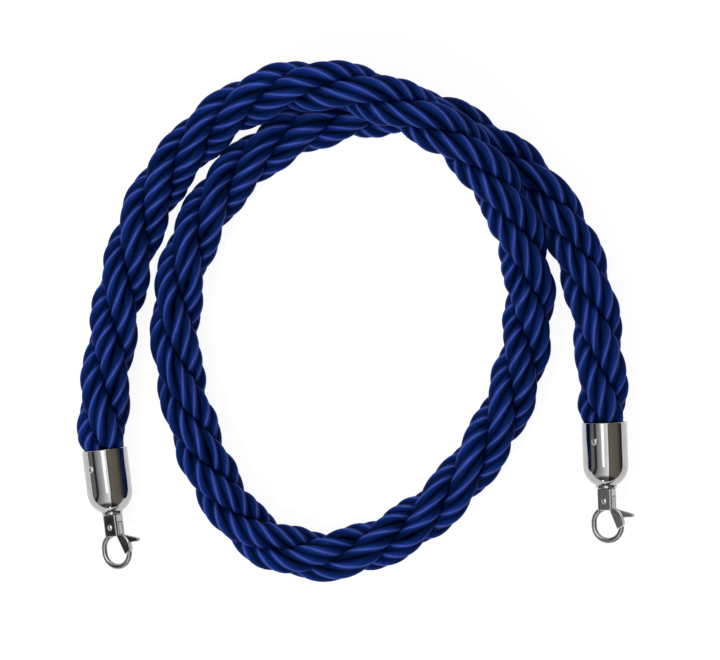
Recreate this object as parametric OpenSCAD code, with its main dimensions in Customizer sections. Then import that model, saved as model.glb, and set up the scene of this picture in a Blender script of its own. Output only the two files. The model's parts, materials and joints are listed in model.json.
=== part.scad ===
// Twisted barrier rope with a domed end cap and a swivelling trigger hook at each end.
// It lies in one loop on a flat surface at Z = 0, with both hooks pointing towards -Y.
// Millimetres, +Z up. The origin is the middle of the loop's footprint, on that surface.

/* [Rope] */
// Diameter over the crests of the strands
rope_d = 34; // [33:0.5:34.5]
// Diameter of the rope where the whipping squeezes it inside a cap
rope_end_d = 26; // [24:0.5:26]
// Length of rope held inside each cap
rope_held = 27; // [25:1:30]
// Sides of the plain tube that stands for the rope
rope_sides = 12; // [8:1:12]

/* [End caps] */
// Outer diameter of a cap
cap_d = 30.5; // [30:0.5:32]
// Length of a cap from its mouth to the flat on its dome
cap_len = 42.5; // [42:0.5:46]
// Thickness of a cap's wall
cap_wall = 1.25; // [1:0.05:1.25]
// Diameter of the flat on the dome
cap_flat_d = 14; // [13:0.5:15]
// Thickness of the dome at its flat
cap_end_t = 1.5; // [1.2:0.1:1.8]

/* [Cap screws] */
// Distance of the fixing screw from the mouth
screw_z = 12.5; // [10:0.5:15]
// Diameter of the screw's shank
screw_d = 3; // [2.5:0.5:3.5]
// Diameter of the screw's head
screw_head_d = 5; // [4.5:0.5:6]
// Height of the screw's head
screw_head_h = 1.4; // [1:0.1:1.6]
// Length of the screw under its head
screw_len = 8; // [6:1:10]

/* [Swivels] */
// Diameter of the stud that the hook turns on
stud_d = 6; // [5:0.5:6]
// Diameter of the stud's head, inside the cap
stud_head_d = 10; // [9:0.5:11]
// Thickness of the stud's head
stud_head_t = 2.2; // [2:0.1:2.5]
// Thickness of the washer inside the dome
inner_washer_t = 1.2; // [1:0.1:1.4]
// Thickness of the washer between the dome and the hook
outer_washer_t = 1.8; // [1.5:0.1:2]
// Angle of each hook about its cap's axis as it lies
swivel_angle = 27; // [0:1:40]

/* [Hooks] */
// Width of the neck, in the plane of the eye
neck_w = 10.4; // [10:0.1:11]
// Thickness of the neck, and the length of the gate pin under its heads
neck_t = 10; // [9.5:0.1:10.5]
// Distance from the dome to the lower end of the neck
neck_end = 16.6; // [16.4:0.1:17]
// Thickness of the claw's round bar
claw_bar_d = 3.8; // [3.4:0.1:4]
// Radius of the claw's curve along the middle of the bar
claw_r = 9.75; // [9.5:0.05:10]
// Distance from the dome to the centre of the claw's upper curve
claw_top = 25.25; // [25:0.05:25.5]
// Straight length between the claw's two curves
claw_straight = 2.3; // [2:0.1:2.6]

/* [Gates] */
// Distance from the dome to the gate pin
pin_z = 10.5; // [10.3:0.1:10.7]
// Diameter of the gate pin
pin_d = 2.4; // [2:0.1:2.5]
// Diameter of the gate pin's heads
pin_head_d = 4; // [3.5:0.1:4.2]
// Height of the gate pin's heads
pin_head_h = 0.9; // [0.7:0.1:1]
// Thickness of the gate
gate_t = 4.2; // [3.8:0.1:4.2]
// Thickness of the thumb lever
lever_t = 3.2; // [2.8:0.1:3.6]
// Radius of the gate's eye about its pin
gate_eye_r = 3; // [2.9:0.05:3]
// Wire of the gate spring
spring_wire_d = 0.5; // [0.4:0.05:0.5]
// Whole turns of the gate spring, which ends half a turn later
spring_turns = 2; // [1:1:2]

/* [Hidden] */
$fn = 64;
chrome = [0.76, 0.77, 0.79];
steel = [0.55, 0.56, 0.58];
satin_blue = [0.03, 0.09, 0.42];
thread_white = [0.85, 0.84, 0.80];

// Radial play of a running fit.
fit = 0.05;
// Room between parts that pass each other.
gap = 0.3;
// How far a cut runs past the face that it leaves through.
past = 1;
// How much thinner the rope still is halfway from a mouth to its full size.
swell = 0.6;
// Step along the route, in spans, for finding its direction.
nudge = 0.05;

rope_r = rope_d / 2;
// Angle of each cap's axis from -Y, and of its screw from the top of the cap.
left_tilt = 7;
right_tilt = 2;
left_screw_turn = 37;
right_screw_turn = 32;

// The rope's route from the left cap's mouth to the right cap's: [x, y, lift].
// Lift is the height of the rope above where it rests. The first pass climbs over the last.
ROUTE = [
    [-169, -85, 0],
    [-170, -62, 0],
    [-167, -33, 0],
    [-161, 7, 0],
    [-151, 46, 0],
    [-136, 84, 0],
    [-112, 117, 2],
    [-81, 142, 12],
    [-43, 156, 25],
    [-3, 154, 33],
    [35, 140, 35],
    [69, 118, 34],
    [95, 87, 27],
    [112, 50, 14],
    [117, 10, 3],
    [111, -30, 0],
    [97, -67, 0],
    [75, -101, 0],
    [47, -130, 0],
    [12, -150, 0],
    [-28, -157, 0],
    [-65, -144, 0],
    [-91, -113, 0],
    [-107, -76, 0],
    [-118, -37, 0],
    [-121, 3, 0],
    [-114, 43, 0],
    [-96, 80, 0],
    [-69.5, 109.5, 0],
    [-35, 130.5, 0],
    [4, 141, 0],
    [43, 142, 0],
    [80, 125, 0],
    [113, 101, 0],
    [138, 70, 0],
    [154, 33, 0],
    [163, -6, 0],
    [166, -43, 0],
    [167.5, -67, 0]
];
left_mouth = ROUTE[0];
right_mouth = ROUTE[len(ROUTE) - 1];

// Unit direction of a cap's axis, from its mouth towards its hook.
function axis_of(tilt) = [sin(tilt), -cos(tilt), 0];

// The route with the ends that the caps hold.
route = concat(
    [left_mouth + rope_held * axis_of(left_tilt)],
    ROUTE,
    [right_mouth + rope_held * axis_of(right_tilt)]
);
spans = len(route) - 1;

// Point at t, from 0 to 1, on a smooth curve from b to c.
function smooth(a, b, c, d, t) =
    0.5 * (2 * b + (c - a) * t + (2 * a - 5 * b + 4 * c - d) * t * t + (3 * b - a - 3 * c + d) * t * t * t);

// Point of the route at u, from 0 to spans.
function route_at(u) =
    let (
        i = min(floor(u), spans - 1),
        a = route[max(i - 1, 0)],
        d = route[min(i + 2, spans)],
        here = smooth(a, route[i], route[i + 1], d, u - i)
    )
    [here.x, here.y, rope_r + max(here.z, 0)];

// Radius of the rope at u: squeezed inside the caps, swelling to full size outside them.
function rope_radius(u) =
    let (from_end = min(u, spans - u))
    from_end > 1.5 ? rope_r :
    from_end > 1 ? rope_r - swell :
    rope_end_d / 2;

function unit(v) = v / norm(v);

// One ring of the tube, square to the route.
function ring_at(u, r, sides) =
    let (
        along = unit(route_at(min(u + nudge, spans)) - route_at(max(u - nudge, 0))),
        across = unit(cross([0, 0, 1], along)),
        up = cross(along, across),
        here = route_at(u)
    )
    [for (k = [0:sides - 1]) here + r * (cos(360 * k / sides) * across + sin(360 * k / sides) * up)];

// A closed tube through rings that all have the same number of points.
module tube(rings) {
    sides = len(rings[0]);
    last = len(rings) - 1;
    walls = [
        for (j = [0:last - 1])
            for (k = [0:sides - 1])
                let (
                    a = j * sides + k,
                    b = j * sides + (k + 1) % sides
                )
                each [[a, a + sides, b], [b, a + sides, b + sides]]
    ];
    near_end = [for (k = [0:sides - 1]) k];
    far_end = [for (k = [0:sides - 1]) last * sides + sides - 1 - k];
    polyhedron(points = [for (ring = rings) each ring], faces = concat([near_end], walls, [far_end]));
}

module rope() {
    steps = [for (j = [0:2 * spans]) j / 2];
    color(satin_blue)
        tube([for (u = steps) ring_at(u, rope_radius(u), rope_sides)]);
}

// ---- Frames of the two ends ----

// Cap frame: the origin is the middle of the mouth, +Z runs to the hook, +Y is up as it lies.
module at_mouth(mouth, tilt) {
    translate([mouth.x, mouth.y, rope_r])
        rotate([0, 0, tilt])
            rotate([90, 0, 0])
                children();
}

module at_left() {
    at_mouth(left_mouth, left_tilt)
        children();
}

module at_right() {
    at_mouth(right_mouth, right_tilt)
        children();
}

// Hook frame: the origin is on the dome's flat, X is across the eye and Y through it.
module at_hook() {
    translate([0, 0, cap_len])
        rotate([0, 0, swivel_angle])
            children();
}

// A bar along Y, centred on [x, z] of the hook frame.
module cross_bar(x, z, r, length) {
    translate([x, 0, z])
        rotate([90, 0, 0])
            cylinder(r = r, h = length, center = true);
}

// A flat shape of [x, z] points in the hook frame, t thick through Y.
module plate(points, t) {
    rotate([90, 0, 0])
        linear_extrude(height = t, center = true)
            polygon(points);
}

// ---- Cap ----

cap_r = cap_d / 2;
bore_r = cap_r - cap_wall;
dome_z = cap_len - sqrt(cap_r * cap_r - cap_flat_d * cap_flat_d / 4);
stud_hole_r = stud_d / 2 + fit;

// Cylinder with a domed end, cut flat at height top.
module bullet(r, from_z, top) {
    translate([0, 0, from_z])
        cylinder(r = r, h = dome_z - from_z);
    intersection() {
        translate([0, 0, dome_z])
            sphere(r = r);
        translate([0, 0, dome_z - fit])
            cylinder(r = r, h = top - dome_z + fit);
    }
}

// Radial axis of the fixing screw, turned about the cap.
module at_screw(turn) {
    rotate([0, 0, turn])
        translate([0, 0, screw_z])
            rotate([-90, 0, 0])
                children();
}

module end_cap(screw_turn) {
    color(chrome)
        difference() {
            bullet(cap_r, 0, cap_len);
            bullet(bore_r, -past, cap_len - cap_end_t);
            cylinder(r = stud_hole_r, h = cap_len + past);
            at_screw(screw_turn)
                cylinder(d = screw_d + 2 * fit, h = cap_r + past);
        }
}

module cap_screw(turn) {
    head_ball_r = (screw_head_d * screw_head_d / 4 + screw_head_h * screw_head_h) / (2 * screw_head_h);
    color(chrome)
        at_screw(turn) {
            translate([0, 0, cap_r - screw_len])
                cylinder(d = screw_d, h = screw_len);
            intersection() {
                translate([0, 0, cap_r + screw_head_h - head_ball_r])
                    sphere(r = head_ball_r);
                translate([0, 0, cap_r])
                    cylinder(d = screw_head_d, h = screw_head_h);
            }
        }
}

// Wound thread that binds the rope's end and packs it into the cap.
module rope_whipping(screw_turn) {
    from_mouth = 4;
    length = 20;
    color(thread_white)
        difference() {
            translate([0, 0, from_mouth])
                cylinder(r = bore_r - fit, h = length);
            cylinder(r = rope_end_d / 2, h = from_mouth + length + past);
            at_screw(screw_turn)
                cylinder(d = screw_d + 2 * fit, h = cap_r + past);
        }
}

// ---- Swivel ----

inner_washer_z = cap_len - cap_end_t - inner_washer_t;
neck_top = outer_washer_t + gap;
stud_in_neck = 3.7;

module washer(outer_d, thickness) {
    difference() {
        cylinder(d = outer_d, h = thickness);
        translate([0, 0, -past])
            cylinder(r = stud_hole_r, h = thickness + 2 * past);
    }
}

module inner_washer() {
    color(steel)
        translate([0, 0, inner_washer_z])
            washer(stud_head_d + 1, inner_washer_t);
}

module outer_washer() {
    color(chrome)
        translate([0, 0, cap_len])
            washer(cap_flat_d, outer_washer_t);
}

module swivel_stud() {
    head_z = inner_washer_z - gap - stud_head_t;
    color(steel) {
        translate([0, 0, head_z])
            cylinder(d = stud_head_d, h = stud_head_t);
        translate([0, 0, head_z])
            cylinder(d = stud_d, h = cap_len + neck_top + stud_in_neck - head_z);
    }
}

// ---- Hook ----

claw_bar_r = claw_bar_d / 2;
eye_outer_r = claw_r + claw_bar_r;
claw_low = claw_top + claw_straight;
gate_tip_r = 20;
slot_t = gate_t + 2 * gap;
slot_r = gate_eye_r + gap;
foot_x = -1;

// Part of the claw's curve, centred at height z: angles from 0 at +X, 90 towards the dome.
module claw_curve(z, start, sweep) {
    translate([0, 0, z])
        rotate([90, 0, 0])
            rotate([0, 0, -start - sweep])
                rotate_extrude(angle = sweep)
                    translate([claw_r, 0])
                        circle(r = claw_bar_r);
}

module claw_side(x) {
    translate([x, 0, claw_top])
        cylinder(r = claw_bar_r, h = claw_straight);
}

module claw() {
    root_angle = 105;
    claw_curve(claw_top, root_angle, 180 - root_angle);
    claw_side(-claw_r);
    claw_curve(claw_low, 180, 180);
    claw_side(claw_r);
}

// The slot in the neck that the gate lies and swings in.
module gate_slot() {
    cross_bar(0, pin_z, slot_r, slot_t);
    plate([
        [0, pin_z - slot_r],
        [neck_w, pin_z - slot_r],
        [neck_w, neck_end + past],
        [foot_x, neck_end + past],
        [foot_x, pin_z],
        [0, pin_z]
    ], slot_t);
}

// Takes back the claw's tip to a face that the swinging gate just clears.
module tip_relief() {
    intersection() {
        cross_bar(0, pin_z, gate_tip_r + gap, neck_t);
        translate([claw_r / 2, -neck_t / 2, pin_z])
            cube([claw_r, neck_t, 2 * claw_r]);
    }
}

module hook() {
    neck_edge_d = 13.4;
    color(chrome)
        difference() {
            union() {
                intersection() {
                    translate([-neck_w / 2, -neck_t / 2, neck_top])
                        cube([neck_w, neck_t, neck_end - neck_top]);
                    translate([0, 0, neck_top])
                        cylinder(d = neck_edge_d, h = neck_end - neck_top);
                }
                difference() {
                    claw();
                    tip_relief();
                }
            }
            translate([0, 0, neck_top - past])
                cylinder(d = stud_d, h = stud_in_neck + past);
            gate_slot();
            cross_bar(0, pin_z, pin_d / 2, neck_t + past);
        }
}

// ---- Gate ----

// The outside of the eye as a solid, which the gate's arm follows.
module eye_outside() {
    cross_bar(0, claw_top, eye_outer_r, gate_t);
    cross_bar(0, claw_low, eye_outer_r, gate_t);
    translate([-eye_outer_r, -gate_t / 2, claw_top])
        cube([2 * eye_outer_r, gate_t, claw_straight]);
}

module gate() {
    back_x = neck_w / 2;
    back_top = pin_z - 2.9;
    front_top = pin_z + 2.8;
    color(chrome)
        difference() {
            union() {
                cross_bar(0, pin_z, gate_eye_r, gate_t);
                plate([
                    [0, back_top],
                    [back_x, back_top],
                    [back_x, neck_end],
                    [2.4, neck_end],
                    [1, front_top],
                    [0, front_top]
                ], gate_t);
                intersection() {
                    plate([
                        [2.3, neck_end - past],
                        [back_x, neck_end - past],
                        [9, neck_end],
                        [14, 20],
                        [14, 32],
                        [8.4, 32],
                        [2.8, 17.7]
                    ], gate_t);
                    union() {
                        eye_outside();
                        translate([0, -gate_t / 2, pin_z])
                            cube([back_x, gate_t, claw_r]);
                    }
                    cross_bar(0, pin_z, gate_tip_r, gate_t);
                }
                plate([
                    [back_x, 15.4],
                    [8, 16.3],
                    [18, 18.9],
                    [18.9, 19.7],
                    [18.9, 20.7],
                    [18.2, 21.3],
                    [10, 21.7],
                    [7, 19]
                ], lever_t);
            }
            cross_bar(0, pin_z, gate_eye_r + 0.1, spring_gap);
            cross_bar(0, pin_z, pin_d / 2 + fit, gate_t + past);
        }
}

module gate_pin() {
    ball_r = (pin_head_d * pin_head_d / 4 + pin_head_h * pin_head_h) / (2 * pin_head_h);
    color(chrome) {
        cross_bar(0, pin_z, pin_d / 2, neck_t);
        for (side = [-1, 1])
            intersection() {
                translate([0, side * (neck_t / 2 + pin_head_h - ball_r), pin_z])
                    sphere(r = ball_r);
                translate([0, side * (neck_t + pin_head_h) / 2, 0])
                    cross_bar(0, pin_z, pin_head_d / 2, pin_head_h);
            }
    }
}

// ---- Gate spring ----

// Width of the groove in the gate's eye that holds the spring.
spring_gap = 2.4;
// Radius and pitch of the coil, to the middle of the wire, and length of its legs.
spring_r = 2.2;
spring_pitch = 0.6;
spring_leg = 1.7;

// Middle of the wire at turn t, with a straight leg before the first turn and after the last.
function wire_at(t, turns) =
    let (
        y = (t - turns / 2) * spring_pitch,
        on = min(max(t, 0), turns),
        x = -spring_r * cos(360 * on),
        z = -spring_r * sin(360 * on)
    )
    t < 0 ? [x, -turns / 2 * spring_pitch, spring_leg] :
    t > turns ? [x, turns / 2 * spring_pitch, spring_leg] :
    [x, y, z];

function wire_ring(here, along) =
    let (
        side = unit(cross(along, [0, 1, 0])),
        up = unit(cross(along, side))
    )
    [for (k = [0:5]) here + spring_wire_d / 2 * (cos(60 * k) * side + sin(60 * k) * up)];

module gate_spring() {
    turns = spring_turns + 0.5;
    per_turn = 16;
    count = turns * per_turn;
    stations = concat([-1], [for (j = [0:count]) j / per_turn], [turns + 1]);
    middles = [for (t = stations) wire_at(t, turns)];
    last = len(middles) - 1;
    color(steel)
        translate([0, 0, pin_z])
            tube([
                for (j = [0:last])
                    wire_ring(middles[j], middles[min(j + 1, last)] - middles[max(j - 1, 0)])
            ]);
}

// ---- The assembly ----

rope();

at_left() rope_whipping(left_screw_turn);  // left_rope_whipping
at_left() end_cap(left_screw_turn);  // left_cap
at_left() cap_screw(left_screw_turn);  // left_cap_screw
at_left() inner_washer();  // left_inner_washer
at_left() outer_washer();  // left_outer_washer
at_left() swivel_stud();  // left_swivel_stud
at_left() at_hook() hook();  // left_hook
at_left() at_hook() gate();  // left_gate
at_left() at_hook() gate_pin();  // left_gate_pin
at_left() at_hook() gate_spring();  // left_gate_spring

at_right() rope_whipping(right_screw_turn);  // right_rope_whipping
at_right() end_cap(right_screw_turn);  // right_cap
at_right() cap_screw(right_screw_turn);  // right_cap_screw
at_right() inner_washer();  // right_inner_washer
at_right() outer_washer();  // right_outer_washer
at_right() swivel_stud();  // right_swivel_stud
at_right() at_hook() hook();  // right_hook
at_right() at_hook() gate();  // right_gate
at_right() at_hook() gate_pin();  // right_gate_pin
at_right() at_hook() gate_spring();  // right_gate_spring
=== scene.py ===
"""The looks of the barrier rope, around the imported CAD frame.

A laid satin rope of three strands lies in one loop. Each end has a chrome cap and a snap hook.
The pieces are built in mm. The camera, the lights and the materials are in metres.
"""

import json
import math

import bpy
import numpy as np
from mathutils import Matrix, Vector


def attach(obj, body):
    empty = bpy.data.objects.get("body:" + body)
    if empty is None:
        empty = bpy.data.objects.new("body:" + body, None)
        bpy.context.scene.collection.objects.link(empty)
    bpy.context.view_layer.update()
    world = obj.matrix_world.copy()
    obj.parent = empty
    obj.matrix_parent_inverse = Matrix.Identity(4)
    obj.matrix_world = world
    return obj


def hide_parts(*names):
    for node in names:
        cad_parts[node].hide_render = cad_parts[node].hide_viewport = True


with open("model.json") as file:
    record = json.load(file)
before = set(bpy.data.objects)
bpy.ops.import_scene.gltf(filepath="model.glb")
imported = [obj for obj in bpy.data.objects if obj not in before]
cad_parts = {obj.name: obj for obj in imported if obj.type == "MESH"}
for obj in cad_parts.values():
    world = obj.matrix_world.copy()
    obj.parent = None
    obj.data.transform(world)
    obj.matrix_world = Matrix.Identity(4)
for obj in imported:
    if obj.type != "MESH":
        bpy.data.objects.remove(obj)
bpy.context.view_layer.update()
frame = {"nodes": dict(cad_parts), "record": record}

MM = 0.001
SEED = 7
QUARTER_TURN = math.radians(90)

# ---------------------------------------------------------------- camera

VIEW_CENTRE = (0.0031, -0.0050)
VIEW_WIDTH = 0.49
CAMERA_HEIGHT = 1.6
SENSOR_WIDTH = 36.0


def make_camera():
    data = bpy.data.cameras.new("camera")
    data.sensor_width = SENSOR_WIDTH
    data.lens = SENSOR_WIDTH * CAMERA_HEIGHT / VIEW_WIDTH
    data.clip_end = 20
    camera = bpy.data.objects.new("camera", data)
    camera.location = (*VIEW_CENTRE, CAMERA_HEIGHT)
    bpy.context.scene.collection.objects.link(camera)
    bpy.context.scene.camera = camera


make_camera()

# ---------------------------------------------------------------- frames of the two ends

ROPE_Z = 17.0
ROPE_HELD = 27.0
CAP_LENGTH = 42.5
SWIVEL_ANGLE = 27.0
# Each end's cap mouth, the cap's tilt from -Y, and how far its screw is turned round it, in degrees.
ENDS = {
    "left": {"mouth": (-169.0, -85.0), "tilt": 7.0, "screw_turn": 37.0},
    "right": {"mouth": (167.5, -67.0), "tilt": 2.0, "screw_turn": 32.0},
}


def mouth_matrix(side):
    """Cap frame in mm: the origin is the middle of the mouth, +Z runs to the hook, +Y is up."""
    end = ENDS[side]
    return (
        Matrix.Scale(MM, 4)
        @ Matrix.Translation((*end["mouth"], ROPE_Z))
        @ Matrix.Rotation(math.radians(end["tilt"]), 4, "Z")
        @ Matrix.Rotation(QUARTER_TURN, 4, "X")
    )


def hook_matrix(side):
    """Hook frame in mm: the origin is on the dome's flat, X is across the eye and Y through it."""
    return (
        mouth_matrix(side)
        @ Matrix.Translation((0, 0, CAP_LENGTH))
        @ Matrix.Rotation(math.radians(SWIVEL_ANGLE), 4, "Z")
    )


def axis_of(side):
    """The way from the cap's mouth to its hook."""
    tilt = math.radians(ENDS[side]["tilt"])
    return np.array([math.sin(tilt), -math.cos(tilt), 0.0])


# ---------------------------------------------------------------- meshes


def mesh_object(name, points, faces, matrix=None, uv=None, height=None):
    """A smooth-shaded object from points and faces, with an optional UV and height for each point. The
    rope's height is its painted shade.
    """
    points = np.asarray(points, float)
    if matrix is not None:
        m = np.array(matrix)
        points = points @ m[:3, :3].T + m[:3, 3]
    mesh = bpy.data.meshes.new(name)
    mesh.from_pydata(points.tolist(), [], [list(map(int, f)) for f in faces])
    mesh.polygons.foreach_set("use_smooth", [True] * len(mesh.polygons))
    if uv is not None:
        layer = mesh.uv_layers.new(name="UVMap")
        corners = np.zeros(len(mesh.loops), int)
        mesh.loops.foreach_get("vertex_index", corners)
        layer.data.foreach_set("uv", np.asarray(uv, float)[corners].ravel())
    if height is not None:
        layer = mesh.attributes.new("height", "FLOAT", "POINT")
        layer.data.foreach_set("value", np.asarray(height, float).ravel())
    mesh.validate()
    mesh.update()
    obj = bpy.data.objects.new(name, mesh)
    bpy.context.scene.collection.objects.link(obj)
    return obj


def tube_faces(rings, sides, first=0):
    """Faces of a closed tube: walls between the rings and a face over each end."""
    j, k = np.meshgrid(np.arange(rings - 1), np.arange(sides), indexing="ij")
    a = first + j * sides + k
    b = first + j * sides + (k + 1) % sides
    walls = np.stack([a, b, b + sides, a + sides], axis=-1).reshape(-1, 4).tolist()
    near = [first + i for i in range(sides)][::-1]
    far = [first + (rings - 1) * sides + i for i in range(sides)]
    return walls + [near, far]


def unit(v):
    return v / np.linalg.norm(v, axis=-1, keepdims=True)


# ---------------------------------------------------------------- the rope's route

# [x, y, lift] in mm, from the left cap's mouth to the right cap's, as in the CAD source.
ROUTE = [
    (-169, -85, 0),
    (-170, -62, 0),
    (-167, -33, 0),
    (-161, 7, 0),
    (-151, 46, 0),
    (-136, 84, 0),
    (-112, 117, 2),
    (-81, 142, 12),
    (-43, 156, 25),
    (-3, 154, 33),
    (35, 140, 35),
    (69, 118, 34),
    (95, 87, 27),
    (112, 50, 14),
    (117, 10, 3),
    (111, -30, 0),
    (97, -67, 0),
    (75, -101, 0),
    (47, -130, 0),
    (12, -150, 0),
    (-28, -157, 0),
    (-65, -144, 0),
    (-91, -113, 0),
    (-107, -76, 0),
    (-118, -37, 0),
    (-121, 3, 0),
    (-114, 43, 0),
    (-96, 80, 0),
    (-69.5, 109.5, 0),
    (-35, 130.5, 0),
    (4, 141, 0),
    (43, 142, 0),
    (80, 125, 0),
    (113, 101, 0),
    (138, 70, 0),
    (154, 33, 0),
    (163, -6, 0),
    (166, -43, 0),
    (167.5, -67, 0),
]


def natural_spline(knots, values, at):
    """Smooth curve through the values at the knots, with no bend at its ends."""
    h = np.diff(knots)
    slope = np.diff(values, axis=0) / h[:, None]
    n = len(knots)
    system, right = np.eye(n), np.zeros_like(values)
    for i in range(1, n - 1):
        system[i, i - 1 : i + 2] = h[i - 1], 2 * (h[i - 1] + h[i]), h[i]
        right[i] = 6 * (slope[i] - slope[i - 1])
    bend = np.linalg.solve(system, right)
    i = np.clip(np.searchsorted(knots, at) - 1, 0, n - 2)
    t, gap = (at - knots[i])[:, None], h[i][:, None]
    return (
        values[i]
        + t * (slope[i] - gap * (2 * bend[i] + bend[i + 1]) / 6)
        + t**2 * bend[i] / 2
        + t**3 * (bend[i + 1] - bend[i]) / (6 * gap)
    )


class Route:
    """The rope's centreline in mm, by the distance s along it: 0 at the left cap's mouth."""

    def __init__(self):
        inner = np.array(ROUTE, float)
        ends = [
            inner[0] + ROPE_HELD * axis_of("left"),
            inner[-1] + ROPE_HELD * axis_of("right"),
        ]
        knots = np.vstack([ends[0], inner, ends[1]])
        at = np.concatenate([[0], np.cumsum(np.linalg.norm(np.diff(knots, axis=0), axis=1))])
        fine = np.linspace(0, at[-1], 6000)
        line = natural_spline(at, knots, fine)
        line[:, 2] = ROPE_Z + np.maximum(line[:, 2], 0)
        along = np.concatenate([[0], np.cumsum(np.linalg.norm(np.diff(line, axis=0), axis=1))])
        self.s = along - ROPE_HELD
        self.line = line
        self.forward = unit(np.gradient(line, along, axis=0))
        self.across = unit(np.cross([0.0, 0.0, 1.0], self.forward))
        self.up = np.cross(self.forward, self.across)
        self.length = along[-1] - 2 * ROPE_HELD

    def at(self, s, field):
        values = getattr(self, field)
        return np.stack([np.interp(s, self.s, values[:, k]) for k in range(3)], axis=-1)


route = Route()

# ---------------------------------------------------------------- the laid rope

STRANDS = 3
PLIES = 6
# Length of one full turn of a strand round the rope, and of a ply round its strand.
ROPE_LAY = 121.5
PLY_LAY = 92.0
# Where the first strand's turn begins, and how much later each next strand's plies do, in radians.
LAY_START = 0.6
PLY_START = 1.3
# Radii from the rope's middle to a strand's, from there to a ply's, and of the ply.
STRAND_R = 7.60
PLY_RING_R = 6.7
PLY_R = 3.5
CREST = STRAND_R + PLY_RING_R + PLY_R
# The rope is thinner in the caps: its radius at the mouth and deep inside, and how soon it gets there.
MOUTH_R = 13.9
INNER_R = 12.6
SWELL_LENGTH = 11.0
SWELL_SHAPE = 0.8
TUCK_LENGTH = 5.0
INSIDE = 26.0
# A strand is pressed into its third of the rope: half its width at the rope's middle, and how
# sharply its sides are held back.
SECTOR_NOSE = 0.4
SECTOR_EDGE = 6
# How much narrower a ply is on its outer side, which gives it a slight ridge.
RIDGE = 0.14
# Irregularities: size and wavelength.
LAY_WANDER = (0.14, 260)
STRAND_WANDER = (0.24, 150)
PLY_WANDER = (0.10, 70)
PLY_SWELL = (0.10, 60)
# Painted shade in the gaps between plies: a ply's colour is darkest where the cosine of the angle from its
# crest is below this.
GAP_SHADE_EDGE = 0.22
# Painted shade in the valleys between strands: a strand's colour is darkest below the first of these parts
# of the rope's radius, and lightest above the second.
VALLEY_SHADE_DARK = 0.52
VALLEY_SHADE_LIGHT = 0.84
# The step between a ply's rings, its number of sides, and how far it stays above the ground.
RING_STEP = 2.0
PLY_SIDES = 20
FLOOR_GAP = 0.25


def wander(s, rng, size, wave):
    """A slow, seeded irregularity along s: a few sines with wavelengths near wave."""
    total = np.zeros_like(s)
    for _ in range(4):
        total += np.sin(2 * math.pi * (s / (wave * rng.uniform(0.6, 1.7)) + rng.random()))
    return size * total / 2


def squeeze(s):
    """The rope's thickness at s as a part of its full one: it is pulled in at the caps' mouths."""
    from_mouth = np.minimum(s, route.length - s)
    t = np.clip(from_mouth / SWELL_LENGTH, 0, 1)
    outside = MOUTH_R + (CREST - MOUTH_R) * np.sin(t * math.pi / 2) ** SWELL_SHAPE
    t = np.clip(-from_mouth / TUCK_LENGTH, 0, 1)
    inside = MOUTH_R + (INNER_R - MOUTH_R) * t
    return np.where(from_mouth > 0, outside, inside) / CREST


def fit_sector(a, b, turn):
    """Presses a strand's points into its third of the rope, so that strands lie flat on each other."""
    x = a * np.cos(turn) + b * np.sin(turn)
    y = -a * np.sin(turn) + b * np.cos(turn)
    half = SECTOR_NOSE + math.tan(math.pi / STRANDS) * np.maximum(x, 0)
    y = y / (1 + np.abs(y / half) ** SECTOR_EDGE) ** (1 / SECTOR_EDGE)
    return x * np.cos(turn) - y * np.sin(turn), x * np.sin(turn) + y * np.cos(turn)


def lay_turn(s, strand):
    """Angle of a strand round the rope at s. The rope is laid left-handed."""
    rng = np.random.default_rng(SEED)
    turn = 2 * math.pi * (strand / STRANDS - s / ROPE_LAY)
    return turn + wander(s, rng, *LAY_WANDER) + LAY_START


def ply_line(s, strand, ply):
    """A ply's middle at s in the straight rope: across, up and along."""
    rng = np.random.default_rng(SEED + 10 * strand)
    turn = lay_turn(s, strand)
    own = 2 * math.pi * (ply / PLIES + s / PLY_LAY) + PLY_START * strand
    own += wander(s, rng, *STRAND_WANDER)
    rng = np.random.default_rng(SEED + 200 + PLIES * strand + ply)
    own += wander(s, rng, *PLY_WANDER)
    a = STRAND_R * np.cos(turn) + PLY_RING_R * np.cos(own)
    b = STRAND_R * np.sin(turn) + PLY_RING_R * np.sin(own)
    return np.stack([a, b, s], axis=-1)


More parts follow.
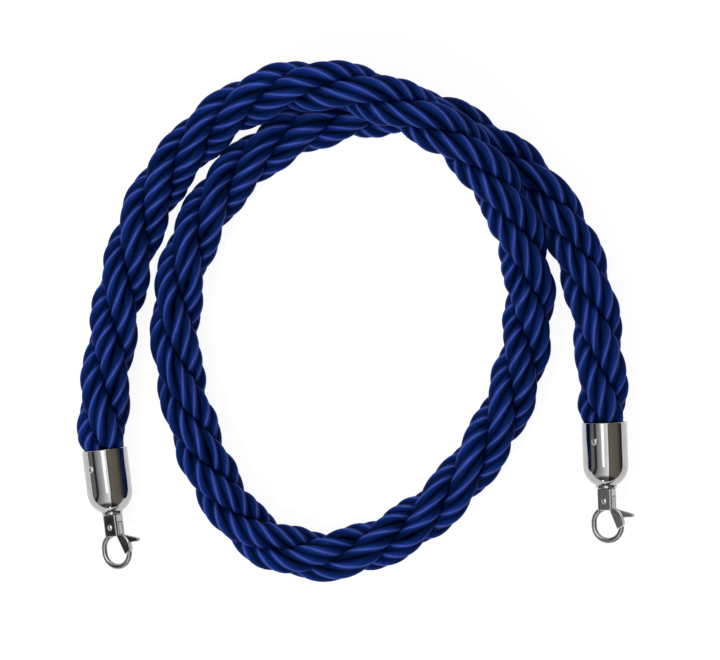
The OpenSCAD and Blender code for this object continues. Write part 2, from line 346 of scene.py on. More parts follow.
def ply_points(strand, ply):
    """The rings of one ply's tube, laid along the route, their UVs in metres, and each point's painted
    shade.
    """
    s = np.arange(-INSIDE, route.length + INSIDE, RING_STEP)
    middle = ply_line(s, strand, ply)
    along = unit(np.gradient(middle, s, axis=0))
    # A ring's first direction points out from the strand's middle, so that the rings don't twist.
    turn = lay_turn(s, strand)
    centre = np.stack([STRAND_R * np.cos(turn), STRAND_R * np.sin(turn), s], axis=-1)
    out = middle - centre
    out = unit(out - (out * along).sum(1, keepdims=True) * along)
    side = np.cross(along, out)
    rng = np.random.default_rng(SEED + 100 + PLIES * strand + ply)
    radius = PLY_R * (1 + wander(s, rng, *PLY_SWELL))
    # The seam of the UVs lies at the back of the ply, inside the strand.
    angle = np.linspace(-math.pi, math.pi, PLY_SIDES, endpoint=False)
    outward = np.cos(angle)[None, :, None]
    sideways = (np.sin(angle) * (1 - RIDGE * np.maximum(np.cos(angle), 0)))[None, :, None]
    ring = outward * out[:, None, :] + sideways * side[:, None, :]
    p = middle[:, None, :] + radius[:, None, None] * ring
    a, b, c = p[..., 0], p[..., 1], p[..., 2]
    a, b = fit_sector(a, b, lay_turn(c, strand))
    # Painted shade: 1 on a crest, less towards the gap between plies and towards the valley between
    # strands, where the colour is painted darker.
    gap_shade_factor = np.clip((np.cos(angle)[None, :] + 0 * a - GAP_SHADE_EDGE) / (1 - GAP_SHADE_EDGE), 0, 1)
    valley_shade_factor = (np.hypot(a, b) / CREST - VALLEY_SHADE_DARK) / (VALLEY_SHADE_LIGHT - VALLEY_SHADE_DARK)
    valley_shade_factor = np.clip(valley_shade_factor, 0, 1)
    height = gap_shade_factor * (0.5 + 0.5 * valley_shade_factor)
    thin = squeeze(c)
    world = (
        route.at(c, "line")
        + (a * thin)[..., None] * route.at(c, "across")
        + (b * thin)[..., None] * route.at(c, "up")
    )
    world[..., 2] = np.maximum(world[..., 2], FLOOR_GAP)
    step = np.linalg.norm(np.diff(middle, axis=0), axis=1)
    u = np.concatenate([[0], np.cumsum(step)])[:, None] + 0 * angle[None, :]
    v = (angle * PLY_R)[None, :] + 0 * u
    uv = np.stack([u, v], axis=-1) * MM
    return world.reshape(-1, 3) * MM, uv.reshape(-1, 2), height.ravel(), len(s)


def make_strand(strand):
    """One strand of the rope: all its plies in one mesh."""
    # Each point's height is the painted shade of the rope's colour.
    points, uvs, painted_shades, faces = [], [], [], []
    for ply in range(PLIES):
        p, uv, height, rings = ply_points(strand, ply)
        faces += tube_faces(rings, PLY_SIDES, first=sum(map(len, points)))
        points.append(p)
        uvs.append(uv)
        painted_shades.append(height)
    return mesh_object(
        f"rope_strand_{strand + 1}",
        np.vstack(points),
        faces,
        uv=np.vstack(uvs),
        height=np.concatenate(painted_shades),
    )


strands = [make_strand(i) for i in range(STRANDS)]
for piece in strands:
    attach(piece, "root")
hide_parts("rope")
route.at(0.0, "line") * MM
route.at(np.arange(-INSIDE, route.length + INSIDE, 4.0), "line") * MM

# ---------------------------------------------------------------- materials


def fill_ramp(node, stops):
    """Sets a colour ramp's stops, given as positions with colours."""
    elements = node.color_ramp.elements
    while len(elements) < len(stops):
        elements.new(0.5)
    for element, (position, colour) in zip(elements, stops):
        element.position = position
        element.color = (*colour, 1)


class Nodes:
    """Short names for building a material's node tree."""

    def __init__(self, name):
        self.material = bpy.data.materials.new(name)
        self.material.use_nodes = True
        self.tree = self.material.node_tree
        self.shader = self.tree.nodes["Principled BSDF"]

    def add(self, kind, inputs=(), **settings):
        node = self.tree.nodes.new(kind)
        for key, value in settings.items():
            setattr(node, key, value)
        for key, value in dict(inputs).items():
            self.put(node.inputs[key], value)
        return node

    def put(self, socket, value):
        if isinstance(value, bpy.types.NodeSocket):
            self.tree.links.new(value, socket)
        else:
            socket.default_value = value

    def set(self, **values):
        for key, value in values.items():
            self.put(self.shader.inputs[key.replace("_", " ")], value)

    def ramp(self, factor, stops):
        node = self.add("ShaderNodeValToRGB", {"Fac": factor})
        fill_ramp(node, stops)
        return node.outputs["Color"]

    def noise(self, place, scale, detail):
        inputs = {"Vector": place, "Scale": scale, "Detail": detail}
        return self.add("ShaderNodeTexNoise", inputs).outputs["Fac"]

    def bump(self, height, strength, distance):
        """Shades the surface as if it stood out by distance, in metres, where height is 1."""
        inputs = {"Strength": strength, "Distance": distance, "Height": height}
        self.set(Normal=self.add("ShaderNodeBump", inputs).outputs["Normal"])

    def mix(self, factor, a, b):
        """Colour a where the factor is 0 and b where it is 1."""
        node = self.add("ShaderNodeMix", data_type="RGBA")
        self.put(node.inputs["Factor"], factor)
        self.put(node.inputs[6], a)
        self.put(node.inputs[7], b)
        return node.outputs[2]

    def math(self, operation, a, b):
        node = self.add("ShaderNodeMath", operation=operation)
        self.put(node.inputs[0], a)
        self.put(node.inputs[1], b)
        return node.outputs[0]


# How the threads slant across a ply, in degrees.
THREAD_SLANT = -16.0
# The painted highlight, a pale line along a ply: how far it lies from the crest and fades out, in metres,
# and its colour.
PAINTED_HIGHLIGHT_V = 0.0004
PAINTED_HIGHLIGHT_FADE = 0.0015
PAINTED_HIGHLIGHT_COLOUR = (0.046, 0.084, 0.380, 1)


def satin_yarn():
    """Glossy yarn plies: fine threads that wind round each ply, each dyed a little differently, with
    painted shade in the gaps and furrows and a painted highlight along each crest.
    """
    n = Nodes("satin_yarn")
    uv = n.add("ShaderNodeUVMap", uv_map="UVMap").outputs["UV"]
    slant = (0, 0, math.radians(THREAD_SLANT))
    spin = n.add("ShaderNodeMapping", {"Vector": uv, "Rotation": slant})
    threads = n.add(
        "ShaderNodeTexWave",
        {
            "Vector": spin.outputs["Vector"],
            "Scale": 460.0,
            "Distortion": 2.2,
            "Detail": 2.0,
            "Detail Scale": 1.5,
        },
        wave_type="BANDS",
        bands_direction="Y",
    ).outputs["Fac"]
    stretch = n.add(
        "ShaderNodeMapping", {"Vector": spin.outputs["Vector"], "Scale": (40, 1200, 1)}
    )
    dye = n.noise(stretch.outputs["Vector"], 1.0, 3.0)
    # The height attribute is painted shade: low in the gaps between plies and in the valleys between
    # strands.
    height = n.add("ShaderNodeAttribute", attribute_name="height").outputs["Fac"]
    streak = n.math("ADD", n.math("MULTIPLY", dye, 1.5), 0.22)
    # Painted shade in the furrows between the threads.
    thread_furrow_shade = n.math("ADD", n.math("MULTIPLY", threads, 0.36), 0.80)
    # How bright the body's colour is: the dye's streaks times the painted shade of the gaps, valleys and
    # furrows.
    light = n.math("MULTIPLY", height, n.math("MULTIPLY", streak, thread_furrow_shade))
    body = n.ramp(
        light,
        [
            (0.05, (0.0016, 0.0090, 0.050)),
            (0.40, (0.0022, 0.0115, 0.076)),
            (0.75, (0.0045, 0.0200, 0.140)),
            (1.00, (0.0090, 0.0330, 0.215)),
        ],
    )
    # A painted highlight: a thin paler line along the crest of each ply, stronger where the rest of the
    # colour is lighter.
    across = n.add("ShaderNodeSeparateXYZ", {"Vector": uv}).outputs["Y"]
    off_crest = n.math("ABSOLUTE", n.math("ADD", across, PAINTED_HIGHLIGHT_V), 0.0)
    painted_highlight = n.add(
        "ShaderNodeMapRange",
        {"Value": off_crest, "From Max": PAINTED_HIGHLIGHT_FADE, "To Min": 1.0, "To Max": 0.0},
        interpolation_type="SMOOTHSTEP",
    ).outputs["Result"]
    highlight_shown = n.math("MULTIPLY", painted_highlight, n.math("MULTIPLY", light, 1.25))
    highlight_shown = n.math("MINIMUM", highlight_shown, 1.0)
    n.set(
        Base_Color=n.mix(highlight_shown, body, PAINTED_HIGHLIGHT_COLOUR),
        Metallic=0.45,
        Roughness=0.40,
        Specular_IOR_Level=0.1,
        Specular_Tint=(0.15, 0.28, 0.8, 1),
    )
    n.bump(threads, 0.6, 0.00015)
    return n.material


def worn_chrome(name, tint, roughness, unevenness):
    """Plated metal: cloudy patches, fine polishing marks, a slightly uneven casting and duller edges."""
    n = Nodes(name)
    place = n.add("ShaderNodeTexCoord").outputs["Object"]
    cloud = n.noise(place, 140.0, 4.0)
    stretch = n.add("ShaderNodeMapping", {"Vector": place, "Scale": (3000, 160, 3000)})
    marks = n.noise(stretch.outputs["Vector"], 1.0, 2.0)
    waves = n.noise(place, 420.0, 1.0)
    edges = n.add("ShaderNodeNewGeometry").outputs["Pointiness"]
    worn = n.ramp(edges, [(0.50, (0, 0, 0)), (0.62, (0.14, 0.14, 0.14))])
    rough = n.ramp(cloud, [(0.35, (roughness,) * 3), (0.75, (roughness * 2.4,) * 3)])
    film = [tint[0] * 0.90, tint[1] * 0.90, tint[2] * 0.88]
    n.set(
        Base_Color=n.ramp(cloud, [(0.35, tint), (0.75, film)]),
        Metallic=1.0,
        Roughness=n.math("ADD", rough, worn),
    )
    marks = n.math("MULTIPLY", marks, 0.05)
    waves = n.math("MULTIPLY", waves, unevenness)
    n.bump(n.math("ADD", marks, waves), 1.0, 0.00005)
    return n.material


def turned_steel(name, tint, roughness):
    """Bare steel from a lathe or a wire die: fine rings, and a few dull stains."""
    n = Nodes(name)
    place = n.add("ShaderNodeTexCoord").outputs["Object"]
    stain = n.noise(place, 260.0, 5.0)
    rings = n.add(
        "ShaderNodeTexWave",
        {"Vector": place, "Scale": 500.0, "Distortion": 0.6, "Detail": 1.0},
        wave_type="RINGS",
        rings_direction="Y",
    ).outputs["Fac"]
    dull = [level * 0.72 for level in tint]
    n.set(
        Base_Color=n.ramp(stain, [(0.35, tint), (0.75, dull)]),
        Metallic=1.0,
        Roughness=n.ramp(stain, [(0.3, (roughness,) * 3), (0.75, (roughness * 1.7,) * 3)]),
    )
    n.bump(rings, 0.25, 0.00003)
    return n.material


def wound_thread():
    """Waxed off-white thread, wound tightly side by side round the rope's end."""
    n = Nodes("wound_thread")
    place = n.add("ShaderNodeTexCoord").outputs["Object"]
    turns = n.add(
        "ShaderNodeTexWave",
        {"Vector": place, "Scale": 350.0, "Distortion": 0.8, "Detail": 2.0},
        wave_type="BANDS",
        bands_direction="Y",
    ).outputs["Fac"]
    fluff = n.noise(place, 1500.0, 3.0)
    shade = n.math("MULTIPLY", turns, n.math("ADD", fluff, 0.4))
    n.set(
        Base_Color=n.ramp(shade, [(0.1, (0.30, 0.27, 0.20)), (0.6, (0.72, 0.70, 0.62))]),
        Roughness=n.ramp(fluff, [(0.3, (0.6, 0.6, 0.6)), (0.7, (0.85, 0.85, 0.85))]),
        Sheen_Weight=0.3,
    )
    n.bump(turns, 0.6, 0.0002)
    return n.material


# The arguments of the metals are the tint, the roughness and how uneven the casting is.
MATERIALS = {
    "rope_satin": satin_yarn(),
    "cap_chrome": worn_chrome("cap_chrome", (0.46, 0.46, 0.465), 0.045, 0.02),
    "hook_chrome": worn_chrome("hook_chrome", (0.41, 0.41, 0.415), 0.10, 0.5),
    "screw_chrome": worn_chrome("screw_chrome", (0.56, 0.56, 0.57), 0.10, 0.2),
    "washer_steel": turned_steel("washer_steel", (0.46, 0.46, 0.47), 0.25),
    "spring_steel": turned_steel("spring_steel", (0.34, 0.34, 0.36), 0.28),
    "whipping_thread": wound_thread(),
}


def paint(obj, slot):
    obj.data.materials.clear()
    obj.data.materials.append(MATERIALS[slot])


for row in frame["record"]["subparts"]:
    paint(frame["nodes"][row["node"]], row["material_slot"])
for piece in strands:
    paint(piece, "rope_satin")

# ---------------------------------------------------------------- turned pieces


def bow(centre, radius, start, end, steps, inward=False):
    """Part of a circle in a turned piece's outline: radii, heights and the way the surface faces."""
    angle = np.radians(np.linspace(start, end, steps + 1))
    way = np.stack([np.cos(angle), np.sin(angle)], axis=-1)
    return np.hstack([np.array(centre) + radius * way, -way if inward else way])


def step_to(r, z, face_r, face_z):
    """One point of a turned piece's outline."""
    return np.array([[r, z, face_r, face_z]], float)


def turned(name, outline, matrix, sides):
    """A piece turned on a lathe. A point of the outline at radius 0 closes an end."""
    rows = np.vstack(outline)
    closed = rows[0, 0] > 0
    angle = np.linspace(0, 2 * math.pi, sides, endpoint=False)
    points, facing, first = [], [], []
    for r, z, face_r, face_z in rows:
        first.append(sum(map(len, points)))
        around = angle if r > 0 else np.zeros(1)
        points.append(np.stack([r * np.cos(around), r * np.sin(around), z + 0 * around], axis=-1))
        facing.append(
            np.stack([face_r * np.cos(around), face_r * np.sin(around), face_z + 0 * around], axis=-1)
        )
    faces = []
    for i in range(len(rows) if closed else len(rows) - 1):
        j = (i + 1) % len(rows)
        for k in range(sides):
            n = (k + 1) % sides
            a, b = first[i] + k * (rows[i, 0] > 0), first[i] + n * (rows[i, 0] > 0)
            c, d = first[j] + n * (rows[j, 0] > 0), first[j] + k * (rows[j, 0] > 0)
            faces.append(list(dict.fromkeys([a, b, c, d])))
    obj = mesh_object(name, np.vstack(points), faces, matrix=matrix)
    face_smoothly(obj, np.vstack(facing), matrix)
    return obj


def face_smoothly(obj, facing, matrix):
    """Sets the shading normals, given in the piece's own frame."""
    turn = np.array(matrix.to_3x3().normalized())
    obj.data.normals_split_custom_set_from_vertices((unit(facing) @ turn.T).tolist())


# The cap: its outer radius, the height of the dome's centre, the bore's radius, the thickness of the
# flat end, the radius of the stud's hole and the height of the screw.
DOME_R = 15.25
DOME_Z = 28.95
BORE_R = 14.0
END_WALL = 1.5
HOLE_R = 3.05
SCREW_Z = 12.5
# The outer washer.
WASHER_T = 1.8
WASHER_R = 7.0
# Numbers of segments round a turned piece.
CAP_SIDES = 128
WASHER_SIDES = 96
RIVET_SIDES = 48


def cap_outline():
    """The cap from its rolled rim over the dome to the stud's hole, and back inside."""
    lip = (DOME_R - BORE_R) / 2
    edge = 0.6
    rim = 0.2
    lean = math.acos((CAP_LENGTH - edge - DOME_Z) / (DOME_R - edge))
    edge_r = (DOME_R - edge) * math.sin(lean)
    to_flat = 90 - math.degrees(lean)
    end_inside = CAP_LENGTH - END_WALL
    inner = math.degrees(math.asin((end_inside - DOME_Z) / BORE_R))
    return [
        bow((BORE_R + lip, lip), lip, 180, 360, 10),
        bow((0, DOME_Z), DOME_R, 0, to_flat, 40),
        bow((edge_r, CAP_LENGTH - edge), edge, to_flat, 90, 4)[1:],
        bow((HOLE_R + rim, CAP_LENGTH - rim), rim, 90, 180, 4),
        step_to(HOLE_R, end_inside, -1, -1),
        bow((0, DOME_Z), BORE_R, inner, 0, 20, inward=True),
    ]


def washer_outline():
    """The flat washer between the dome and the hook."""
    edge = 0.35
    low, high = CAP_LENGTH, CAP_LENGTH + WASHER_T
    return [
        bow((WASHER_R - edge, low + edge), edge, -90, 0, 4),
        bow((WASHER_R - edge, high - edge), edge, 0, 90, 4),
        bow((HOLE_R + edge, high - edge), edge, 90, 180, 4),
        bow((HOLE_R + edge, low + edge), edge, 180, 270, 4),
    ]


def rivet_outline():
    """The gate pin: a straight shank with a domed head at each end."""
    half = 5.0
    shank = 1.2
    head = 2.0
    dome = 0.9
    ball = (head**2 + dome**2) / (2 * dome)
    centre = half + dome - ball
    low = math.degrees(math.asin((half - centre) / ball))
    rim = step_to(head, half, 1, 0)
    top = [step_to(shank, half, 1, -1), rim, bow((0, centre), ball, low, 90, 10)]
    top = np.vstack(top)
    top[-1, 0] = 0
    bottom = top[::-1] * np.array([1, -1, 1, -1])
    return [bottom, top]


# ---------------------------------------------------------------- cast pieces

# A cast piece is the surface where a distance function is 0. Distances are in mm and negative inside.


def circle_at(u, v, centre, radius):
    return np.hypot(u - centre[0], v - centre[1]) - radius


def polygon(u, v, corners):
    """Distance to a flat outline."""
    corners = np.array(corners, float)
    near = np.full(u.shape, np.inf)
    inside = np.ones(u.shape)
    for a, b in zip(corners, np.roll(corners, 1, axis=0)):
        edge = b - a
        du, dv = u - a[0], v - a[1]
        t = np.clip((du * edge[0] + dv * edge[1]) / (edge @ edge), 0, 1)
        near = np.minimum(near, (du - edge[0] * t) ** 2 + (dv - edge[1] * t) ** 2)
        above, below = v >= a[1], v < b[1]
        left = edge[0] * dv > edge[1] * du
        inside = np.where((above & below & left) | ~(above | below | left), -inside, inside)
    return inside * np.sqrt(near)


def join(a, b, fillet):
    """Union with a fillet in the corner."""
    h = np.maximum(fillet - np.abs(a - b), 0) / fillet
    return np.minimum(a, b) - h * h * fillet / 4


def common(a, b, round_off):
    """Intersection with a rounded edge."""
    return -join(-a, -b, round_off)


def slab(flat, y, half, edge):
    """A flat outline given a thickness, with rounded edges."""
    a, b = flat + edge, np.abs(y) - half + edge
    outside = np.hypot(np.maximum(a, 0), np.maximum(b, 0))
    return outside + np.minimum(np.maximum(a, b), 0) - edge


# Heights are from the dome's flat: the pin, the block neck, and the middles of the eye's two bends.
PIN_Z = 10.5
NECK_TOP = 2.1
NECK_END = 16.6
EYE_TOP = 25.25
EYE_LOW = 27.55
# Half sizes of the neck, the radius of its turned corners and the size of its soft edges.
NECK_HALF_X = 5.2
NECK_HALF_Y = 5.0
NECK_CORNER_R = 6.7
NECK_EDGE = 0.9
# The claw: its middle line's radius, its bar's radius, and the tip's distance from the pin.
CLAW_R = 9.75
CLAW_BAR_R = 1.9
TIP_R = 20.0
PLAY = 0.3
# Bores of the neck, and the slot in it for the gate.
STUD_R = 3.0
STUD_DEPTH = 3.7
PIN_R = 1.2
SLOT_R = 3.3
SLOT_HALF = 2.4
# The gate: half thicknesses of its plate and its lever, and the radius of its eye.
GATE_HALF = 2.1
LEVER_HALF = 1.6
GATE_EYE_R = 3.0
# The groove in the gate's eye for the spring.
GROOVE_R = 3.1
GROOVE_HALF = 1.2


def hook_surface(x, y, z):
    """The hook: a block neck slotted for the gate, and a round bar bent into an open eye."""
    middle = (NECK_TOP + NECK_END) / 2
    side = np.abs(x) - NECK_HALF_X
    ends = np.abs(z - middle) - (NECK_END - NECK_TOP) / 2
    block = common(side, ends, NECK_EDGE)
    block = common(block, np.abs(y) - NECK_HALF_Y, NECK_EDGE)
    block = common(block, np.hypot(x, y) - NECK_CORNER_R, 0.6)
    centre = np.clip(z, EYE_TOP, EYE_LOW)
    bar = np.hypot(np.hypot(x, z - centre) - CLAW_R, y) - CLAW_BAR_R
    bar = np.where(z < EYE_TOP, np.maximum(bar, x + 2.4), bar)
    tip = np.where(x > 0, TIP_R + PLAY - np.hypot(x, z - PIN_Z), -np.inf)
    bar = np.where(x > 0, common(bar, tip, 0.8), bar)
    body = join(block, bar, 1.5)
    corners = [(0, 7.2), (10.4, 7.2), (10.4, 17.6), (-1, 17.6), (-1, PIN_Z), (0, PIN_Z)]
    slot = np.minimum(circle_at(x, z, (0, PIN_Z), SLOT_R), polygon(x, z, corners))
    body = common(body, -np.maximum(slot, np.abs(y) - SLOT_HALF), 0.35)
    stud = np.maximum(np.hypot(x, y) - STUD_R, z - NECK_TOP - STUD_DEPTH)
    body = np.maximum(body, -stud)
    return np.maximum(body, PIN_R - np.hypot(x, z - PIN_Z))


def gate_surface(x, y, z):
    """The gate: an eye round the pin, an arm along the claw's opening, and a thumb lever."""
    eye = circle_at(x, z, (0, PIN_Z), GATE_EYE_R)
    corners = [(0, 7.6), (5.2, 7.6), (5.2, 16.6), (2.4, 16.6), (1, 13.3), (0, 13.3)]
    plate = polygon(x, z, corners)
    corners = [(2.3, 15.6), (5.2, 15.6), (9, 16.6), (14, 20), (14, 32), (8.4, 32), (2.8, 17.7)]
    arm = polygon(x, z, corners)
    round_eye = np.hypot(x, z - np.clip(z, EYE_TOP, EYE_LOW)) - CLAW_R - CLAW_BAR_R
    back = np.maximum(np.abs(x - 2.6) - 2.6, np.abs(z - 15.4) - 4.9)
    arm = common(arm, join(round_eye, back, 1.0), 0.3)
    arm = np.maximum(arm, circle_at(x, z, (0, PIN_Z), TIP_R))
    flat = join(join(eye, plate, 0.3), arm, 0.3)
    body = slab(flat, y, GATE_HALF, 0.5)
    lever_low = [(3, 15.4), (5.2, 15.4), (8, 16.3), (18, 18.9), (18.9, 19.7)]
    lever_high = [(18.9, 20.7), (18.2, 21.3), (10, 21.7), (7, 19)]
    lever = polygon(x, z, lever_low + lever_high)
    body = join(body, slab(lever, y, LEVER_HALF, 0.7), 0.8)
    groove = np.maximum(circle_at(x, z, (0, PIN_Z), GROOVE_R), np.abs(y) - GROOVE_HALF)
    body = common(body, -groove, 0.2)
    return common(body, 1.25 - np.hypot(x, z - PIN_Z), 0.2)


def screw_surface(x, y, z):
    """The cap's screw: a domed head with a cross recess, and a shank into the rope."""
    head_r = 2.5
    dome = 1.4
    low = 15.0
    arm_half = 0.3
    arm_reach = 1.35
    arm_depth = 1.0
    shank_r = 1.5
    shank_length = 8.0
    ball = (head_r**2 + dome**2) / (2 * dome)
    top = DOME_R + dome
    head = np.sqrt(x * x + y * y + (z - top + ball) ** 2) - ball
    head = common(head, np.hypot(x, y) - head_r, 0.3)
    head = np.maximum(head, low - z)
    reach = arm_reach - 0.5 * (top - z)
    one_arm = np.maximum(np.abs(x) - arm_half, np.abs(y) - reach)
    other_arm = np.maximum(np.abs(y) - arm_half, np.abs(x) - reach)
    cross = np.maximum(np.minimum(one_arm, other_arm), top - arm_depth - z)
    head = common(head, -cross, 0.15)
    ends = np.maximum(DOME_R - shank_length - z, z - DOME_R)
    shank = np.maximum(np.hypot(x, y) - shank_r, ends)
    return np.minimum(head, shank)


# For each cast piece, its distance function, two corners of the box that it fits in, and the cell size.
CASTINGS = {
    "screw": (screw_surface, (-2.7, -2.7, 7), (2.7, 2.7, 16.9), 0.12),
    "hook": (hook_surface, (-12, -5.3, 1.8), (12, 5.3, 39.6), 0.24),
    "gate": (gate_surface, (-3.4, -2.4, 7), (19.3, 2.4, 31.2), 0.2),
}
SNAP_STEPS = 6


def cast(name, kind, matrix):
    """Meshes a distance function: one point for each cell that the surface crosses, moved onto it."""
    surface, low, high, cell = CASTINGS[kind]
    axes = [np.arange(a, b + cell, cell) for a, b in zip(low, high)]
    x, y, z = np.meshgrid(*axes, indexing="ij")
    inside = surface(x, y, z) < 0
    corners = sum(
        inside[i : i - 1 or None, j : j - 1 or None, k : k - 1 or None].astype(int)
        for i in (0, 1)
        for j in (0, 1)
        for k in (0, 1)
    )
    crossed = (corners > 0) & (corners < 8)
    number = np.full(crossed.shape, -1)
    number[crossed] = np.arange(crossed.sum())
    points = (np.argwhere(crossed) + 0.5) * cell + np.array([a[0] for a in axes])
    for _ in range(SNAP_STEPS):
        value, slope = surface_slope(surface, points)
        move = -value[:, None] * slope / np.maximum((slope**2).sum(1, keepdims=True), 0.25)
        points = points + np.clip(move, -0.6 * cell, 0.6 * cell)
    facing = surface_slope(surface, points)[1]
    faces = []
    for axis in range(3):
        # An edge between two grid points, one inside and one outside, has four cells round it.
        near = inside.take(range(inside.shape[axis] - 1), axis)
        far = inside.take(range(1, inside.shape[axis]), axis)
        for flip, here in ((False, near & ~far), (True, ~near & far)):
            at = np.argwhere(here)
            one = np.eye(3, dtype=int)[(axis + 1) % 3]
            two = np.eye(3, dtype=int)[(axis + 2) % 3]
            ring = [at - one - two, at - two, at, at - one]
            quad = np.stack([number[tuple(p.T)] for p in ring], axis=-1)
            faces += (quad[:, ::-1] if flip else quad).tolist()
    obj = mesh_object(name, points, faces, matrix=matrix)
    face_smoothly(obj, facing, matrix)
    return obj


def surface_slope(surface, points):
    """The distance function and its slope at each point."""
    reach = 0.02
    slope = []
    for axis in np.eye(3) * reach:
        ahead, behind = points + axis, points - axis
        slope.append((surface(*ahead.T) - surface(*behind.T)) / (2 * reach))
    return surface(*points.T), np.stack(slope, axis=-1)


# ---------------------------------------------------------------- springs

COIL_R = 2.2
COIL_PITCH = 0.6
COIL_TURNS = 2.5
COIL_STEPS = 81
WIRE_R = 0.25
LEG = 1.7
# The gate's leg reaches back inside the coil, so that it still leaves the coil when the gate swings.
LEG_ROOT_TURNS = 0.1
LEG_ROOT_STEPS = 6
# The leg's wire is thinner than the coil's by this much, so that their surfaces don't coincide.
LEG_PLAY = 0.01


def coil_at(turns):
    """Points on the coil's middle line, by the number of turns from its hook end."""
    turns = np.atleast_1d(turns)
    return np.stack(
        [
            -COIL_R * np.cos(2 * math.pi * turns),
            (turns - COIL_TURNS / 2) * COIL_PITCH,
            PIN_Z - COIL_R * np.sin(2 * math.pi * turns),
        ],
        axis=-1,
    )


def wire(name, line, radius, matrix, sides=12):
    """A round wire along a line of points."""
    line = np.asarray(line, float)
    along = unit(np.gradient(line, axis=0))
    side = unit(np.cross(along, [0.0, 1.0, 0.0]))
    up = np.cross(along, side)
    angle = np.linspace(0, 2 * math.pi, sides, endpoint=False)
    ring = np.cos(angle)[:, None] * side[:, None] + np.sin(angle)[:, None] * up[:, None]
    points = line[:, None] + radius * ring
    return mesh_object(name, points.reshape(-1, 3), tube_faces(len(line), sides), matrix=matrix)


def leg_line(foot, steps=6):
    """A straight leg that leaves the coil at foot and runs away from the dome."""
    return foot + np.linspace(0, 1, steps)[1:, None] * np.array([0, 0, LEG])


def make_end(side):
    """Every detailed piece of one end, each on the body that carries it."""
    mouth, hook = mouth_matrix(side), hook_matrix(side)
    pin = hook @ Matrix.Translation((0, 0, PIN_Z)) @ Matrix.Rotation(-QUARTER_TURN, 4, "X")
    screw = (
        mouth
        @ Matrix.Rotation(math.radians(ENDS[side]["screw_turn"]), 4, "Z")
        @ Matrix.Translation((0, 0, SCREW_Z))
        @ Matrix.Rotation(-QUARTER_TURN, 4, "X")
    )
    hook_body, gate_body = f"{side}_hook_body", f"{side}_gate_body"
    coil = coil_at(np.linspace(0, COIL_TURNS, COIL_STEPS))
    coil = np.vstack([leg_line(coil_at(0)[0])[::-1], coil])
    root = coil_at(np.linspace(COIL_TURNS - LEG_ROOT_TURNS, COIL_TURNS, LEG_ROOT_STEPS))
    leg = np.vstack([root, leg_line(coil_at(COIL_TURNS)[0])])
    cap_shell = turned(f"{side}_cap_shell", cap_outline(), mouth, CAP_SIDES)
    washer = turned(f"{side}_outer_washer_disc", washer_outline(), mouth, WASHER_SIDES)
    rows = [
        (cap_shell, "cap", "root", "cap_chrome"),
        (washer, "outer_washer", "root", "cap_chrome"),
        (cast(f"{side}_cap_screw_cross", "screw", screw), "cap_screw", "root", "screw_chrome"),
        (cast(f"{side}_hook_casting", "hook", hook), "hook", hook_body, "hook_chrome"),
        (cast(f"{side}_gate_casting", "gate", hook), "gate", gate_body, "hook_chrome"),
        (
            turned(f"{side}_gate_rivet", rivet_outline(), pin, RIVET_SIDES),
            "gate_pin",
            hook_body,
            "screw_chrome",
        ),
        (
            wire(f"{side}_gate_spring_coil", coil, WIRE_R, hook),
            "gate_spring",
            hook_body,
            "spring_steel",
        ),
        (
            wire(f"{side}_gate_spring_leg", leg, WIRE_R - LEG_PLAY, hook),
            None,
            gate_body,
            "spring_steel",
        ),
    ]
    for piece, node, body, slot in rows:
        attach(piece, body)
        if node:
            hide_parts(f"{side}_{node}")
        paint(piece, slot)


for end in ENDS:
    make_end(end)

# ---------------------------------------------------------------- floor and light


FLOOR_HALF = 6.0


def make_floor():
    """A plain pale floor that glows a little, so that it comes out white under soft light."""
    corners = [(-1, -1, 0), (1, -1, 0), (1, 1, 0), (-1, 1, 0)]
    floor = mesh_object("floor", FLOOR_HALF * np.array(corners), [(0, 1, 2, 3)])
    n = Nodes("floor")
    n.set(Base_Color=(0.12, 0.12, 0.12, 1), Roughness=0.8, Specular_IOR_Level=0.0)
    n.set(Emission_Color=(1, 1, 1, 1), Emission_Strength=0.92)
    floor.data.materials.append(n.material)


def softbox(name, place, target, size, power, mirrored=True):
    """A rectangular light at place that shines on target. Chrome doesn't show it unless it is mirrored."""
    data = bpy.data.lights.new(name, "AREA")
    data.shape = "RECTANGLE"
    data.size, data.size_y = size
    data.energy = power
    light = bpy.data.objects.new(name, data)
    light.location = place
    light.visible_glossy = mirrored
    light.rotation_euler = (Vector(target) - Vector(place)).to_track_quat("-Z", "Y").to_euler()
    bpy.context.scene.collection.objects.link(light)


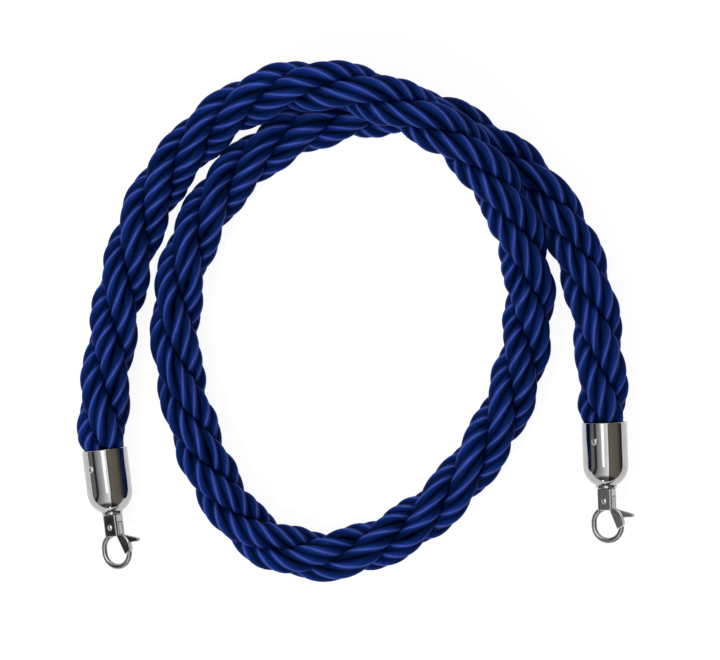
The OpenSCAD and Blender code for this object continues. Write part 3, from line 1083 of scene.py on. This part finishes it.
# Brightness of the studio from its left wall, over the ceiling, to its right wall.
WALLS = [
    (0.00, (0.04, 0.04, 0.04)),
    (0.015, (0.26, 0.26, 0.27)),
    (0.05, (0.24, 0.24, 0.25)),
    (0.07, (0.03, 0.03, 0.03)),
    (0.11, (0.04, 0.04, 0.04)),
    (0.14, (0.34, 0.35, 0.36)),
    (0.30, (0.70, 0.71, 0.73)),
    (0.50, (1.30, 1.30, 1.30)),
    (0.58, (1.60, 1.60, 1.60)),
    (0.60, (0.12, 0.11, 0.09)),
    (0.68, (0.26, 0.235, 0.19)),
    (0.93, (0.20, 0.18, 0.14)),
    (1.00, (0.03, 0.03, 0.03)),
]


# Towards -Y, in front of the hooks, the studio falls to this part of its brightness. The fall lies
# between two values of the direction's Y.
FRONT_LEVEL = 0.12
FRONT_FROM = -0.88
FRONT_TO = -0.76


def make_world():
    """The studio round the rope, which the chrome mirrors."""
    world = bpy.data.worlds.new("studio")
    bpy.context.scene.world = world
    world.use_nodes = True
    tree = world.node_tree
    background = tree.nodes["Background"]
    place = tree.nodes.new("ShaderNodeTexCoord")
    split = tree.nodes.new("ShaderNodeSeparateXYZ")
    across = tree.nodes.new("ShaderNodeMapRange")
    ramp = tree.nodes.new("ShaderNodeValToRGB")
    across.inputs["From Min"].default_value = -1
    tree.links.new(place.outputs["Generated"], split.inputs[0])
    tree.links.new(split.outputs["X"], across.inputs["Value"])
    tree.links.new(across.outputs["Result"], ramp.inputs["Fac"])
    tree.links.new(ramp.outputs["Color"], background.inputs["Color"])
    front = tree.nodes.new("ShaderNodeMapRange")
    front.inputs["From Min"].default_value = FRONT_FROM
    front.inputs["From Max"].default_value = FRONT_TO
    front.inputs["To Min"].default_value = FRONT_LEVEL
    tree.links.new(split.outputs["Y"], front.inputs["Value"])
    tree.links.new(front.outputs["Result"], background.inputs["Strength"])
    fill_ramp(ramp, WALLS)


make_floor()
make_world()
softbox("key", (-0.75, -0.65, 1.3), (0, 0, 0), (0.4, 0.4), 18, mirrored=False)
softbox("top", (-0.45, 0.30, 1.75), (-0.1, 0.1, 0), (1.0, 1.0), 5)
softbox("lamp", (-0.1, -1.6, 0.12), (0, 0, 0.02), (0.12, 0.12), 0.25)
bpy.context.scene.view_settings.view_transform = "Standard"
